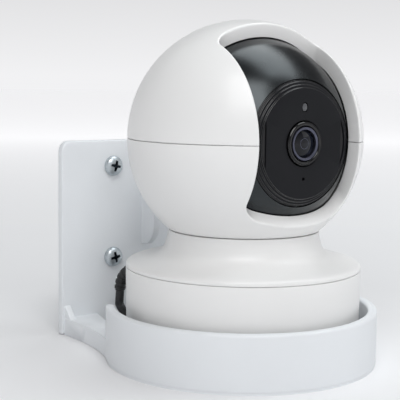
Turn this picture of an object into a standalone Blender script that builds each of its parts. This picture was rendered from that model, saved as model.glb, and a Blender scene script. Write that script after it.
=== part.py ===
"""Pan and tilt baby monitor camera seated in its wall bracket, with its power lead.

Units: the drawing numbers are millimetres and MM turns them into metres.  +Z is up, the camera and
the bracket face -Y.  The origin is the middle of the footprint, on the surface the bracket stands on.
"""
import math

import bmesh
import bpy

MM = 0.001

# ---- driving dimensions, millimetres -------------------------------------------------------------
PAN_Y = -16.4            # pan axis, forward of the middle of the footprint
BALL_Z = 80.9            # height of the tilt axis, the centre of the head
SHELL_R = 42.5           # outside of the white head
SHELL_IN = 40.7          # inside of the white head
RIM_R = 37.6             # inner edge of the wall round the head's opening
BLACK_R = 37.2           # tilting ball
BLACK_IN = 35.7
SLOT_HALF = 22.3         # half width of the head's opening
SLOT_TOP = 74.0          # degrees above the horizon
SLOT_LOW = -41.7
RIM_WALL = 1.5
HEAD_CUT = 48.3          # flat underside of the head
NECK_TOP = 47.9
BASE_R = 42.3
BASE_TOP = 34.6
BASE_LOW = 4.3
CUP_R = 49.6             # bracket cup, outside
CUP_IN = 46.2
CUP_Y = 0.8
CUP_TOP = 20.2
FOOT_TOP = 7.0
PLATE_HALF = 38.5
PLATE_FRONT = 66.0
PLATE_BACK = 69.5
PLATE_TOP = 77.3
SCREW_X = 15.4
SCREW_Z = (29.8, 66.9)
FACE_F = 32.15           # flat face, forward of the tilt axis
FACE_R = 18.9
PORT_TURN = 16.0         # degrees from straight back to the power inlet
PORT_Z = 26.5
CORD_R = 1.75
COIL_X, COIL_Y = 18.0, 100.0
COIL_MEAN = 21.0         # middle of the coil's turns
COIL_HALF = 7.4
PAN_MODULE, PAN_TEETH, PAN_PINION = 1.2, 40, 8
TILT_MODULE, TILT_TEETH, TILT_PINION = 0.8, 24, 10
TILT_PITCH = TILT_MODULE * (TILT_TEETH + TILT_PINION) / 2
PAN_PITCH = PAN_MODULE * (PAN_TEETH + PAN_PINION) / 2
ROUND = 28

for old in list(bpy.data.objects):
    bpy.data.objects.remove(old, do_unlink=True)

# ---- materials -----------------------------------------------------------------------------------
LOOKS = {
    "white_shell": ((0.86, 0.86, 0.85), 0.38, 0.0),
    "white_base": ((0.85, 0.85, 0.84), 0.40, 0.0),
    "bracket_white": ((0.80, 0.83, 0.86), 0.45, 0.0),
    "black_gloss": ((0.012, 0.012, 0.014), 0.10, 0.0),
    "black_matte": ((0.03, 0.03, 0.035), 0.45, 0.0),
    "smoke": ((0.02, 0.02, 0.025), 0.15, 0.0),
    "glass": ((0.02, 0.025, 0.035), 0.04, 0.0),
    "barrel": ((0.22, 0.25, 0.30), 0.30, 0.6),
    "zinc": ((0.62, 0.62, 0.63), 0.32, 1.0),
    "steel": ((0.55, 0.55, 0.57), 0.30, 1.0),
    "rubber": ((0.05, 0.05, 0.05), 0.80, 0.0),
    "board": ((0.03, 0.22, 0.10), 0.50, 0.0),
    "natural": ((0.78, 0.76, 0.70), 0.50, 0.0),
    "cord": ((0.02, 0.02, 0.022), 0.55, 0.0),
    "amber": ((0.62, 0.30, 0.10), 0.30, 0.0),
}


def material(name):
    """The Principled material of that name, made once."""
    if name in bpy.data.materials:
        return bpy.data.materials[name]
    colour, rough, metal = LOOKS[name]
    made = bpy.data.materials.new(name)
    made.use_nodes = True
    shader = made.node_tree.nodes["Principled BSDF"]
    shader.inputs["Base Color"].default_value = (*colour, 1.0)
    shader.inputs["Roughness"].default_value = rough
    shader.inputs["Metallic"].default_value = metal
    return made


def empty(name, y, z, parent=None):
    """A joint's frame, on the pan axis."""
    made = bpy.data.objects.new(name, None)
    bpy.context.scene.collection.objects.link(made)
    made.empty_display_size = 0.01
    made.parent = parent
    made.location = (0.0, y * MM, z * MM)
    return made


BODY = empty("camera_centre", PAN_Y, 0.0)
PAN = empty("pan_axis", PAN_Y, 0.0)
TILT = empty("tilt_axis", 0.0, BALL_Z, PAN)


def finish(bm, name, look, parent, smooth=True):
    """Turn a bmesh in millimetres into a named object under its joint's frame."""
    bmesh.ops.remove_doubles(bm, verts=bm.verts, dist=1e-4)
    bmesh.ops.recalc_face_normals(bm, faces=bm.faces)
    for vert in bm.verts:
        vert.co *= MM
    mesh = bpy.data.meshes.new(name)
    bm.to_mesh(mesh)
    bm.free()
    made = bpy.data.objects.new(name, mesh)
    bpy.context.scene.collection.objects.link(made)
    made.parent = parent
    if look:
        mesh.materials.append(material(look))
    if smooth:
        mesh.shade_smooth()
        mesh.set_sharp_from_angle(angle=math.radians(35))
    return made


def loft(name, rows, look, parent, ring=False, chain=False):
    """Skin equal rows of points: ring joins the last row to the first, chain leaves the rows open."""
    bm = bmesh.new()
    grid = [[bm.verts.new(point) for point in row] for row in rows]
    size = len(grid[0])
    count = len(grid) if ring else len(grid) - 1
    for i in range(count):
        one, two = grid[i], grid[(i + 1) % len(grid)]
        for j in range(size - 1 if chain else size):
            k = (j + 1) % size
            bm.faces.new((one[j], one[k], two[k], two[j]))
    if not ring:
        bm.faces.new(grid[0])
        bm.faces.new(list(reversed(grid[-1])))
    return finish(bm, name, look, parent)


def up(radius, along, turn, centre):
    """A point of a shape turned about a vertical axis."""
    return (centre[0] + radius * math.cos(turn), centre[1] + radius * math.sin(turn), centre[2] + along)


def ahead(radius, along, turn, centre):
    """A point of a shape turned about an axis that points forward, to -Y."""
    return (centre[0] + radius * math.cos(turn), centre[1] - along, centre[2] + radius * math.sin(turn))


def across(radius, along, turn, centre):
    """A point of a shape turned about the tilt axis, with turn 0 forward and 90 degrees up."""
    return (centre[0] + along, centre[1] - radius * math.cos(turn), centre[2] + radius * math.sin(turn))


def lathe(name, profile, look, parent, way=up, steps=ROUND, centre=(0, 0, 0), sector=None):
    """Turn a (radius, along) profile; one that starts and ends on the axis closes there."""
    chain = profile[0][0] == 0 and profile[-1][0] == 0
    if sector:
        low, high = sector
        turns = [math.radians(low + (high - low) * i / steps) for i in range(steps + 1)]
    else:
        turns = [2 * math.pi * i / steps for i in range(steps)]
    rows = [[way(r, a, turn, centre) for r, a in profile] for turn in turns]
    return loft(name, rows, look, parent, ring=sector is None, chain=chain)


def prism(name, outline, low, high, look, parent, place):
    """Extrude an outline; place(u, v, depth) gives each point."""
    rows = [[place(u, v, depth) for u, v in outline] for depth in (low, high)]
    return loft(name, rows, look, parent)


def plan(u, v, depth):
    return (u, v, depth)


def front(u, v, depth):
    """An outline drawn in X and Z, pushed along +Y."""
    return (u, depth, v)


def side(u, v, depth):
    """An outline drawn in Y and Z, pushed along +X."""
    return (depth, u, v)


def box(name, low, high, look, parent, place=plan):
    outline = [(low[0], low[1]), (high[0], low[1]), (high[0], high[1]), (low[0], high[1])]
    return prism(name, outline, low[2], high[2], look, parent, place)


def modify(target, tool, operation):
    """Join or cut target with a hidden tool."""
    tool.hide_render = True
    tool.display_type = "WIRE"
    change = target.modifiers.new(operation.lower(), "BOOLEAN")
    change.operation = operation
    change.object = tool
    change.solver = "EXACT"
    return target


def cut(target, tool):
    return modify(target, tool, "DIFFERENCE")


def join(target, tool):
    return modify(target, tool, "UNION")


def arc(radius, start, end, steps):
    """(radius, height) points of a circle round the head's centre, angles from the horizon."""
    points = []
    for i in range(steps + 1):
        turn = math.radians(start + (end - start) * i / steps)
        points.append((radius * math.cos(turn), radius * math.sin(turn)))
    return points


def circle(radius, start, end, steps, centre=(0.0, 0.0)):
    """Plan points, with angle 0 at the front and positive towards +X."""
    points = []
    for i in range(steps + 1):
        turn = math.radians(start + (end - start) * i / steps)
        points.append((centre[0] + radius * math.sin(turn), centre[1] - radius * math.cos(turn)))
    return points


def mirrored(points):
    return [(-x, y) for x, y in reversed(points)]


# ---- wall bracket --------------------------------------------------------------------------------
LEG = [(41.0, 30.5), (39.8, 35.0), (38.8, 40.0), (38.0, 46.0), (37.7, 52.0), (37.7, 66.4)]
OPENING = [(22.0, 66.4), (26.0, 54.0), (27.6, 44.9)]
REAR = 145.9             # where the cable opening's front edge meets its sides, degrees
HUB = (0.0, CUP_Y)

leg_in = [(x - 0.25, y) for x, y in LEG]
floor_outline = circle(CUP_R - 0.3, -120, 120, 40, HUB) + leg_in + OPENING
floor_outline += circle(CUP_R + 0.1, REAR, 360 - REAR, 10, HUB) + mirrored(OPENING) + mirrored(leg_in)
bracket = prism("wall_bracket", floor_outline, 0.0, 3.0, "bracket_white", BODY, plan)

rim_outline = circle(CUP_R - 0.2, 115.4, 119.4, 1, HUB) + LEG + OPENING
rim_outline += circle(CUP_R + 0.25, REAR, 360 - REAR, 10, HUB) + mirrored(OPENING) + mirrored(LEG)
rim_outline += circle(CUP_R - 0.2, 240.6, 244.6, 1, HUB) + circle(CUP_IN + 0.2, 244.6, 115.4, 22, HUB)
join(bracket, prism("foot_tool", rim_outline, 0.4, FOOT_TOP, None, BODY, plan))

wall = [(CUP_IN, 0.5), (CUP_R, 0.5), (CUP_R, CUP_TOP - 0.7), (CUP_R - 0.7, CUP_TOP),
        (CUP_IN + 0.7, CUP_TOP), (CUP_IN, CUP_TOP - 0.7)]
join(bracket, lathe("cup_tool", wall, None, BODY, steps=40, centre=(0, CUP_Y, 0),
                    sector=(-90 - 120.5, -90 + 120.5)))

plate_outline = [(-PLATE_HALF, 0.3), (PLATE_HALF, 0.3)]
for i in range(5):
    turn = math.radians(22.5 * i)
    plate_outline.append((PLATE_HALF - 4 + 4 * math.cos(turn), PLATE_TOP - 4 + 4 * math.sin(turn)))
plate_outline += [(-x, z) for x, z in reversed(plate_outline[2:])]
join(bracket, prism("plate_tool", plate_outline, PLATE_FRONT, PLATE_BACK, None, BODY, front))
rib = [(66.4, 34.0), (66.4, 60.0), (59.5, 58.0), (56.4, 53.0), (56.4, 41.0), (59.5, 36.0)]
join(bracket, prism("rib_tool", rib, -1.5, 1.5, None, BODY, side))
for hand in (-1, 1):
    gusset = [(66.4, 6.6), (66.4, 12.2), (61.0, 6.6)]
    join(bracket, prism("gusset_tool", gusset, hand * 36.2 - 1.4, hand * 36.2 + 1.4, None, BODY, side))
for x in (-SCREW_X, SCREW_X):
    for z in SCREW_Z:
        hole = [(2.2, -PLATE_BACK - 1), (2.2, -PLATE_FRONT + 1), (0, -PLATE_FRONT + 1)]
        cut(bracket, lathe("screw_hole_tool", [(0, -PLATE_BACK - 1)] + hole, None, BODY, ahead, 12, (x, 0, z)))
cut(bracket, box("cable_notch_tool", (-8, -1, PLATE_FRONT - 0.6), (8, FOOT_TOP, PLATE_BACK + 1), None, BODY, front))

PAN_HEAD = [(0, 2.6), (1.9, 2.5), (3.1, 2.0), (3.8, 1.2), (4.0, 0.5), (4.0, 0.0), (1.9, 0.0),
            (1.9, -14.4), (0, -15.9)]
CROSS = [(1.9, 0.45), (0.45, 0.45), (0.45, 1.9), (-0.45, 1.9), (-0.45, 0.45), (-1.9, 0.45),
         (-1.9, -0.45), (-0.45, -0.45), (-0.45, -1.9), (0.45, -1.9), (0.45, -0.45), (1.9, -0.45)]
number = 0
for z in SCREW_Z:
    for x in (-SCREW_X, SCREW_X):
        number += 1
        seat = (x, PLATE_FRONT - 0.3, z)
        screw = lathe("wall_screw_%d" % number, PAN_HEAD, "zinc", BODY, ahead, 12, seat)
        slots = [(x + u, z + v) for u, v in CROSS]
        cut(screw, prism("cross_tool", slots, PLATE_FRONT - 4, PLATE_FRONT - 1.6, None, BODY, front))

# ---- still base of the camera --------------------------------------------------------------------
BOSS_R = 36.5
BOSSES = (60, 210, 330)


def polar(radius, degrees):
    return (radius * math.cos(math.radians(degrees)), radius * math.sin(math.radians(degrees)))


def rear(across_port, out, z):
    """A point in the power inlet's own directions: sideways, outwards from the pan axis, height."""
    turn = math.radians(PORT_TURN)
    return (across_port * math.cos(turn) - out * math.sin(turn),
            across_port * math.sin(turn) + out * math.cos(turn), z)


def rear_box(u, v, depth):
    return rear(u, v, depth)


housing = lathe("base_housing", [(42.74, BASE_TOP), (42.6, 22.0), (BASE_R, 5.1), (41.6, BASE_LOW),
                                 (40.5, BASE_LOW), (40.5, BASE_TOP)], "white_base", BODY)
base_plate = lathe("base_plate", [(0, BASE_LOW), (40.1, BASE_LOW), (40.1, 6.3), (0, 6.3)], "white_base", BODY)
for i, degrees in enumerate(BOSSES):
    x, y = polar(BOSS_R, degrees)
    join(housing, lathe("boss_tool", [(0, 6.6), (4.4, 6.6), (4.4, 16.0), (0, 16.0)], None, BODY,
                        steps=12, centre=(x, y, 0)))
    bore = [(0, 3.0), (2.5, 3.0), (2.5, 5.5), (1.4, 5.5), (1.4, 14.5), (0, 14.5)]
    bore_tool = lathe("bore_tool", bore, None, BODY, steps=12, centre=(x, y, 0))
    cut(housing, bore_tool)
    cut(base_plate, bore_tool)
    lathe("base_screw_%d" % (i + 1), [(0, 4.4), (2.2, 4.4), (2.2, 5.2), (1.1, 5.2), (1.1, 13.0), (0, 13.0)],
          "zinc", BODY, steps=8, centre=(x, y, 0))
cut(housing, box("port_tool", (-5.2, 37.5, PORT_Z - 3.6), (5.2, 46.0, PORT_Z + 3.6), None, BODY, rear_box))
for i in range(4):
    x, y = polar(30.0, 45 + 90 * i)
    cut(base_plate, lathe("pad_recess_tool", [(0, 3.0), (4.8, 3.0), (4.8, 5.3), (0, 5.3)], None, BODY,
                          steps=12, centre=(x, y, 0)))
    lathe("foot_pad_%d" % (i + 1), [(0, 3.3), (4.2, 3.3), (4.5, 3.7), (4.5, 5.0), (0, 5.0)], "rubber", BODY,
          steps=10, centre=(x, y, 0))

COVER = [(27.46, NECK_TOP), (28.0, 45.0), (29.2, 41.5), (31.0, 39.6), (35.0, 38.4),
         (41.8, 36.6), (42.75, 34.9), (40.2, 34.9), (40.2, 33.2),
         (38.8, 33.2), (38.8, 35.6), (30.0, 38.0), (27.7, 40.6), (25.86, NECK_TOP)]
lathe("top_cover", COVER, "white_base", BODY)
lathe("pan_post", [(3.0, 6.6), (12.0, 6.6), (12.0, 8.4), (7.0, 10.0), (7.0, 29.6), (5.0, 29.6),
                   (5.0, 38.9), (3.0, 38.9)], "natural", BODY, steps=16)
lathe("pan_retainer", [(5.3, 37.3), (8.5, 37.3), (8.5, 38.5), (5.3, 38.5)], "steel", BODY, steps=16)
lathe("pan_motor", [(0, 6.6), (10.0, 6.6), (10.0, 25.0), (3.0, 25.0), (3.0, 26.2), (1.2, 26.2),
                    (1.2, 33.4), (0, 33.4)], "steel", BODY, steps=16, centre=(-PAN_PITCH, 0, 0))
lathe("speaker", [(0, 6.6), (9.5, 6.6), (9.5, 11.0), (7.0, 13.0), (0, 13.0)], "black_matte", BODY,
      steps=16, centre=(16.0, -20.0, 0))
box("power_board", (-13.0, 14.0, PORT_Z - 5.4), (13.0, 35.0, PORT_Z - 3.8), "board", BODY, rear_box)
socket = box("power_socket", (-4.6, 29.0, PORT_Z - 3.5), (4.6, 38.4, PORT_Z + 2.8), "steel", BODY, rear_box)
cut(socket, box("socket_tool", (-3.7, 33.0, PORT_Z - 1.2), (3.7, 40.0, PORT_Z + 1.2), None, BODY, rear_box))


# ---- gears ---------------------------------------------------------------------------------------
def gear(name, module, teeth, bore, low, high, parent, way, centre, phase):
    """Spur gear with straight flanks, thinned for backlash; phase is a tooth's direction, degrees."""
    pitch = module * teeth / 2
    deep, tall = module * 0.5 + 0.5, module * 0.5 + 0.2
    wide, narrow = module * 0.82, module * 0.34
    outline = []
    for i in range(teeth):
        middle = math.radians(phase) + 2 * math.pi * i / teeth
        for reach, half in ((-deep, -wide), (tall, -narrow), (tall, narrow), (-deep, wide)):
            radius = pitch + reach
            outline.append((radius, middle + half / radius))
    rows = [[way(radius, along, turn, centre) for radius, turn in outline] for along in (low, high)]
    made = loft(name, rows, "natural", parent)
    hub = [(0, low - 5), (bore, low - 5), (bore, high + 5), (0, high + 5)]
    return cut(made, lathe("gear_bore_tool", hub, None, parent, way, 14, centre))


gear("pan_gear", PAN_MODULE, PAN_TEETH, 5.3, 30.0, 33.4, PAN, up, (0, 0, 0), 184.5)
gear("pan_pinion", PAN_MODULE, PAN_PINION, 1.5, 30.2, 33.2, BODY, up, (-PAN_PITCH, 0, 0), 0.0)
gear("tilt_gear", TILT_MODULE, TILT_TEETH, 3.3, -27.5, -25.8, TILT, across, (0, 0, 0), -90.0 + 7.5)
gear("tilt_pinion", TILT_MODULE, TILT_PINION, 1.5, -27.4, -25.9, TILT, across, (0, 0, -TILT_PITCH), 90.0)

# ---- head: frame and white shells ----------------------------------------------------------------
frame = [(5.3, 35.0), (24.9, 35.0), (24.9, 37.0), (23.5, 37.0)]
frame += [(r, BALL_Z + z) for r, z in arc(40.2, -54.2, -37.2, 3)]
frame += [(28.7, BALL_Z - 24.3)]
frame += [(r, BALL_Z + z) for r, z in arc(38.6, -42.4, -56.0, 2)]
frame += [(21.6, 37.0), (5.3, 37.0)]
chassis = lathe("head_frame", frame, "natural", PAN)


def slot_half(degrees, half, radius_top, radius_low):
    """Half width of the opening at an elevation, with its rounded corners."""
    top = (SLOT_TOP - degrees) * math.pi / 180 * SHELL_R
    low = (degrees - SLOT_LOW) * math.pi / 180 * SHELL_R
    for gap, radius in ((top, radius_top), (low, radius_low)):
        if gap < radius:
            half -= radius - math.sqrt(max(radius * radius - (radius - gap) ** 2, 0.0))
    return half


slot_rows = []
for degrees in (SLOT_LOW, -41.2, -39.9, -38.0, -35.7, -24, -12, 0, 12, 24, 36, 48, 58, 67.3, 70.0, 72.2,
                73.5, SLOT_TOP):
    half = max(slot_half(degrees, SLOT_HALF, 5.0, 4.0), 18.2)
    turn = math.radians(degrees)
    slot_rows.append([across(34.0, -half, turn, (0, 0, 0)), across(50.0, -half, turn, (0, 0, 0)),
                      across(50.0, half, turn, (0, 0, 0)), across(34.0, half, turn, (0, 0, 0))])
slot_tool = loft("slot_tool", slot_rows, None, TILT)


def band(name, half, inner, outer, low, high, steps, look, parent):
    """A piece of a thick ball shell between two elevations, as wide as the opening's wall."""
    rows = []
    for i in range(steps + 1):
        turn = math.radians(low + (high - low) * i / steps)
        row = []
        for j in range(9):
            x = half * (1 - j / 4)
            row.append(across(math.sqrt(outer * outer - x * x), x, turn, (0, 0, 0)))
        for j in range(9):
            x = -half * (1 - j / 4)
            row.append(across(math.sqrt(inner * inner - x * x), x, turn, (0, 0, 0)))
        rows.append(row)
    return loft(name, rows, look, parent)


SEAM = 0.15
shell_top = [(0, SHELL_R)] + arc(SHELL_R, 81, 9, 8) + [(SHELL_R, SEAM)]
shell_top += [(SHELL_IN, SEAM)] + arc(SHELL_IN, 9, 81, 8) + [(0, SHELL_IN)]
upper = lathe("upper_shell", shell_top, "white_shell", TILT)
CUT = math.degrees(math.asin((HEAD_CUT - BALL_Z) / SHELL_R))
CUT_IN = math.degrees(math.asin((HEAD_CUT - BALL_Z) / SHELL_IN))
shell_low = [(SHELL_R, -SEAM)] + arc(SHELL_R, -10, CUT, 4) + arc(SHELL_IN, CUT_IN, -10, 4) + [(SHELL_IN, -SEAM)]
lower = lathe("lower_shell", shell_low, "white_shell", TILT)
rim_gap = math.degrees(RIM_WALL / SHELL_R)
join(upper, band("rim_top_tool", SLOT_HALF + RIM_WALL, RIM_R, 41.9, 0.23, SLOT_TOP + rim_gap, 9, None, TILT))
join(lower, band("rim_low_tool", SLOT_HALF + RIM_WALL, RIM_R, 41.9, SLOT_LOW - rim_gap, -0.23, 5, None, TILT))
cut(upper, slot_tool)
cut(lower, slot_tool)
clear = [[across(r, x, math.radians(degrees), (0, 0, 0)) for r, x in
          ((25, -25.4), (50, -25.4), (50, 25.4), (25, 25.4))] for degrees in (-46.0, -38.0, -30.0)]
clear_tool = loft("frame_clear_tool", clear, None, TILT)
cut(chassis, clear_tool)

for word, hand in (("left", -1), ("right", 1)):
    outline = [(-7.0, -24.0), (7.0, -24.0)]
    outline += [(7 * math.cos(math.radians(30 * i)), 7 * math.sin(math.radians(30 * i))) for i in range(7)]
    low, high = sorted((hand * 28.0, hand * 29.8))
    bracket_arm = prism("tilt_bracket_" + word, outline, low, high, "natural", TILT, side)
    cut(bracket_arm, lathe("pin_hole_tool", [(0, -35), (3.3, -35), (3.3, 35), (0, 35)], None, TILT, across, 16))
    if hand < 0:
        cut(bracket_arm, lathe("shaft_hole_tool", [(0, -35), (1.65, -35), (1.65, -20), (0, -20)], None, TILT,
                               across, 11, (0, 0, -TILT_PITCH)))
tilt_motor = lathe("tilt_motor", [(0, -37.0), (8.0, -37.0), (8.0, -30.2), (0, -30.2)], "steel", TILT,
                   across, 20, (0, 0, -7.0))
join(tilt_motor, lathe("shaft_tool", [(0, -33.0), (1.2, -33.0), (1.2, -26.0), (0, -26.0)], None, TILT,
                       across, 10, (0, 0, -TILT_PITCH)))
box("main_board", (-15.0, -14.0, 31.5), (15.0, 14.0, 32.7), "board", TILT, side)


def at_elevation(degrees):
    """Directions of a piece set into the ball: across, along the surface, outwards."""
    turn = math.radians(degrees)

    def place(u, v, depth):
        return (u, -depth * math.cos(turn) + v * math.sin(turn), depth * math.sin(turn) + v * math.cos(turn))
    return place


box("wifi_antenna", (-6.0, -2.5, 38.5), (6.0, 2.5, 39.1), "amber", TILT, at_elevation(150))

# ---- tilting ball --------------------------------------------------------------------------------
def ball_sector(name, low, high, steps):
    reach_out = math.degrees(math.asin(25.5 / BLACK_R))
    reach_in = math.degrees(math.asin(24.0 / BLACK_IN))
    profile = [(3.3, -25.5)] + [(r, x) for r, x in arc(BLACK_R, -reach_out, reach_out, 8)]
    profile += [(3.3, 25.5), (3.3, 24.0)] + [(r, x) for r, x in arc(BLACK_IN, reach_in, -reach_in, 8)]
    profile += [(3.3, -24.0)]
    return lathe(name, profile, "black_gloss", TILT, across, steps, sector=(low, high))


ball = ball_sector("ball_front_shell", -118.0, 118.0, 22)
ball_sector("ball_rear_shell", 118.6, 241.4, 11)
cut(ball, lathe("face_tool", [(0, 22.0), (21.85, 22.0), (21.85, 45.0), (0, 45.0)], None, TILT, ahead))
cut(ball, box("card_slot_tool", (-6.3, -0.9, 30.0), (6.3, 0.9, 40.0), None, TILT, at_elevation(-50)))
BUTTON_TURN = -64.0


def outwards(radius, along, turn, centre):
    """A point of a shape turned about the reset button's axis."""
    return at_elevation(BUTTON_TURN)(radius * math.cos(turn), radius * math.sin(turn), along)


cut(ball, lathe("button_hole_tool", [(0, 30.0), (2.0, 30.0), (2.0, 40.0), (0, 40.0)], None, TILT, outwards, 12))
lathe("reset_button", [(0, 33.9), (2.8, 33.9), (2.8, 34.9), (1.6, 34.9), (1.6, 36.6), (1.2, 36.9), (0, 36.9)],
      "black_matte", TILT, outwards, 12)
box("reset_switch", (-2.5, -2.5, 30.6), (2.5, 2.5, 33.0), "steel", TILT, at_elevation(BUTTON_TURN))
box("card_socket", (-7.2, -1.2, 19.0), (7.2, 1.2, 34.0), "steel", TILT, at_elevation(-50))

FACE = [(7.8, FACE_F - 2), (7.8, FACE_F), (FACE_R, FACE_F), (FACE_R, 31.4), (19.9, 31.4), (19.9, 30.8),
        (20.9, 30.8), (20.9, 30.1), (21.5, 30.1), (21.5, 28.6), (18.0, 28.6), (17.2, FACE_F - 2)]
panel = lathe("face_panel", FACE, "black_matte", TILT, ahead)
for hand in (-1, 1):
    wide = math.degrees(math.acos(16.6 / 18.3))
    crescent = []
    for i in range(7):
        turn = math.radians(-wide + 2 * wide * i / 6)
        crescent.append((hand * 18.3 * math.cos(turn), 18.3 * math.sin(turn)))
    cut(panel, prism("crescent_tool", crescent, -FACE_F + 0.6, -FACE_F - 2, None, TILT, front))


def pill(half, straight, steps=5):
    """A slot outline in X and Z round (0, 12.3)."""
    points = []
    for start, lift in ((0, straight), (180, -straight)):
        for i in range(steps + 1):
            turn = math.radians(start + 180 * i / steps)
            points.append((half * math.cos(turn), 12.3 + lift + half * math.sin(turn)))
    return points


cut(panel, prism("status_tool", pill(1.3, 0.35), -25, -40, None, TILT, front))
prism("status_window", pill(1.0, 0.35), -FACE_F + 0.1, -FACE_F + 2, "smoke", TILT, front)
cut(panel, lathe("mic_hole_tool", [(0, 25), (0.6, 25), (0.6, 40), (0, 40)], None, TILT, ahead, 10, (0, 0, -12.0)))
lathe("microphone", [(0, 27.0), (2.4, 27.0), (2.4, 29.6), (0, 29.6)], "steel", TILT, ahead, 14, (0, 0, -12.0))
lathe("lens_bezel", [(5.9, 29.6), (7.5, 29.6), (7.5, 32.3), (7.2, 32.5), (6.4, 32.5), (5.9, 32.1)],
      "black_gloss", TILT, ahead, 28)
lathe("lens_barrel", [(4.3, 15.6), (5.6, 15.6), (5.6, 32.0), (4.8, 31.8), (4.8, 29.6), (4.3, 29.6)], "barrel", TILT, ahead, 24)
lathe("lens_glass", [(0, 31.5), (2.4, 31.3), (4.6, 30.7), (4.6, 29.7), (0, 29.7)], "glass", TILT, ahead, 20)
lathe("infrared_board", [(8.6, 25.2), (20.5, 25.2), (20.5, 26.4), (8.6, 26.4)], "board", TILT, ahead, 24)
box("sensor_board", (-12.0, -12.0, -15.0), (12.0, 12.0, -13.8), "board", TILT, front)
for word, hand, end in (("left", -1, 29.8), ("right", 1, 30.6)):
    pin = [(0, hand * 22.2), (4.6, hand * 22.2), (4.6, hand * 23.7), (3.0, hand * 23.7), (3.0, hand * end),
           (0, hand * end)]
    lathe("tilt_pin_" + word, pin, "steel", TILT, across, 16)

# ---- power lead ----------------------------------------------------------------------------------
def rear_section(half, high, out):
    """An eight-sided section of the plug at one distance out from the pan axis."""
    trim = 0.35 * min(half, high)
    corners = [(half, high - trim), (half - trim, high), (trim - half, high), (-half, high - trim),
               (-half, trim - high), (trim - half, -high), (half - trim, -high), (half, trim - high)]
    return [rear(u, out, PORT_Z + v) for u, v in corners]


BEND = 9.0
BEND_OUT = 51.4
loft("power_plug", [rear_section(3.3, 0.85, 33.6), rear_section(3.3, 0.85, 38.7), rear_section(4.6, 3.0, 38.7),
                    rear_section(4.6, 3.0, BEND_OUT - 2.8), rear_section(3.4, 2.8, BEND_OUT - 0.3)], "cord", BODY)
relief = []
for i in range(8):
    turn = math.radians(90 * i / 7)
    radius = 2.9 - 0.7 * i / 7
    row = []
    for j in range(10):
        spin = 2 * math.pi * j / 10
        out = BEND_OUT + (BEND + radius * math.cos(spin)) * math.sin(turn)
        z = PORT_Z - BEND + (BEND + radius * math.cos(spin)) * math.cos(turn)
        row.append(rear(radius * math.sin(spin), out, z))
    relief.append(row)
loft("strain_relief", relief, "cord", BODY)


def smooth_route(points, steps):
    """Catmull-Rom curve through the route's own points."""
    ends = [points[0]] + list(points) + [points[-1]]
    curve = []
    for i in range(len(points) - 1):
        a, b, c, d = ends[i:i + 4]
        for k in range(steps):
            t = k / steps
            curve.append(tuple(0.5 * (2 * b[n] + (c[n] - a[n]) * t
                                      + (2 * a[n] - 5 * b[n] + 4 * c[n] - d[n]) * t * t
                                      + (3 * b[n] - a[n] - 3 * c[n] + d[n]) * t ** 3) for n in range(3)))
    curve.append(points[-1])
    return curve


def tube(name, points, steps):
    """A cord along a smooth route, millimetres."""
    curve = bpy.data.curves.new(name, "CURVE")
    curve.dimensions = "3D"
    curve.bevel_depth = CORD_R * MM
    curve.bevel_resolution = 2
    curve.use_fill_caps = True
    route = smooth_route(points, steps)
    spline = curve.splines.new("POLY")
    spline.points.add(len(route) - 1)
    for spot, point in zip(spline.points, route):
        spot.co = (point[0] * MM, point[1] * MM, point[2] * MM, 1.0)
    curve.materials.append(material("cord"))
    made = bpy.data.objects.new(name, curve)
    bpy.context.scene.collection.objects.link(made)
    made.parent = BODY
    return made


def coil_point(radius, degrees, z):
    x, y = polar(radius, degrees)
    return (COIL_X + x, COIL_Y + y, z)


COIL_OUT = COIL_MEAN + COIL_HALF
exit_x, exit_y, exit_z = rear(0, BEND_OUT + BEND, PORT_Z - BEND - 0.3)
tube("power_cord", [(exit_x, exit_y, exit_z), (exit_x - 0.2, exit_y + 0.1, exit_z - 4.0), (-15.6, 59.8, 10.8),
                    (-12.0, 61.2, 6.2), (-7.2, 63.6, 3.2), (-3.6, 67.6, 2.1), (-3.4, 74.0, 2.1),
                    (-4.6, 79.0, 3.2), coil_point(COIL_OUT + 1.6, 215, 4.8)], 3)
ring_profile = [(COIL_MEAN - COIL_HALF, 2.8), (COIL_MEAN - COIL_HALF + 1.4, 1.3), (COIL_OUT - 1.4, 1.3),
                (COIL_OUT, 2.8), (COIL_OUT, 10.6), (COIL_OUT - 1.4, 12.1),
                (COIL_MEAN - COIL_HALF + 1.4, 12.1), (COIL_MEAN - COIL_HALF, 10.6)]
lathe("cord_coil", ring_profile, "cord", BODY, steps=24, centre=(COIL_X, COIL_Y, 0))
tie_rows = []
for lift, grow in ((-2.0, 0.3), (-2.0, 1.1), (2.0, 1.1), (2.0, 0.3)):
    low, high = COIL_X - COIL_OUT - grow, COIL_X - COIL_MEAN + COIL_HALF + grow
    y = COIL_Y + 0.0 + lift
    tie_rows.append([(low, y, 1.3 - grow), (high, y, 1.3 - grow), (high, y, 12.1 + grow), (low, y, 12.1 + grow)])
loft("cord_tie", tie_rows, "cord", BODY, ring=True)
PLUG_X, PLUG_END, PLUG_Z = 54.5, 98.0, 4.1
tube("cord_tail", [coil_point(COIL_OUT + 1.6, 20, 4.8), (49.8, 109.3, 4.4), (53.6, 105.6, 4.1),
                   (PLUG_X, PLUG_END + 0.3, PLUG_Z)], 4)


def plug_section(half, high, y):
    trim = 0.3 * min(half, high)
    corners = [(half, high - trim), (half - trim, high), (trim - half, high), (-half, high - trim),
               (-half, trim - high), (trim - half, -high), (half - trim, -high), (half, trim - high)]
    return [(PLUG_X + u, y, PLUG_Z + v) for u, v in corners]


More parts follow.
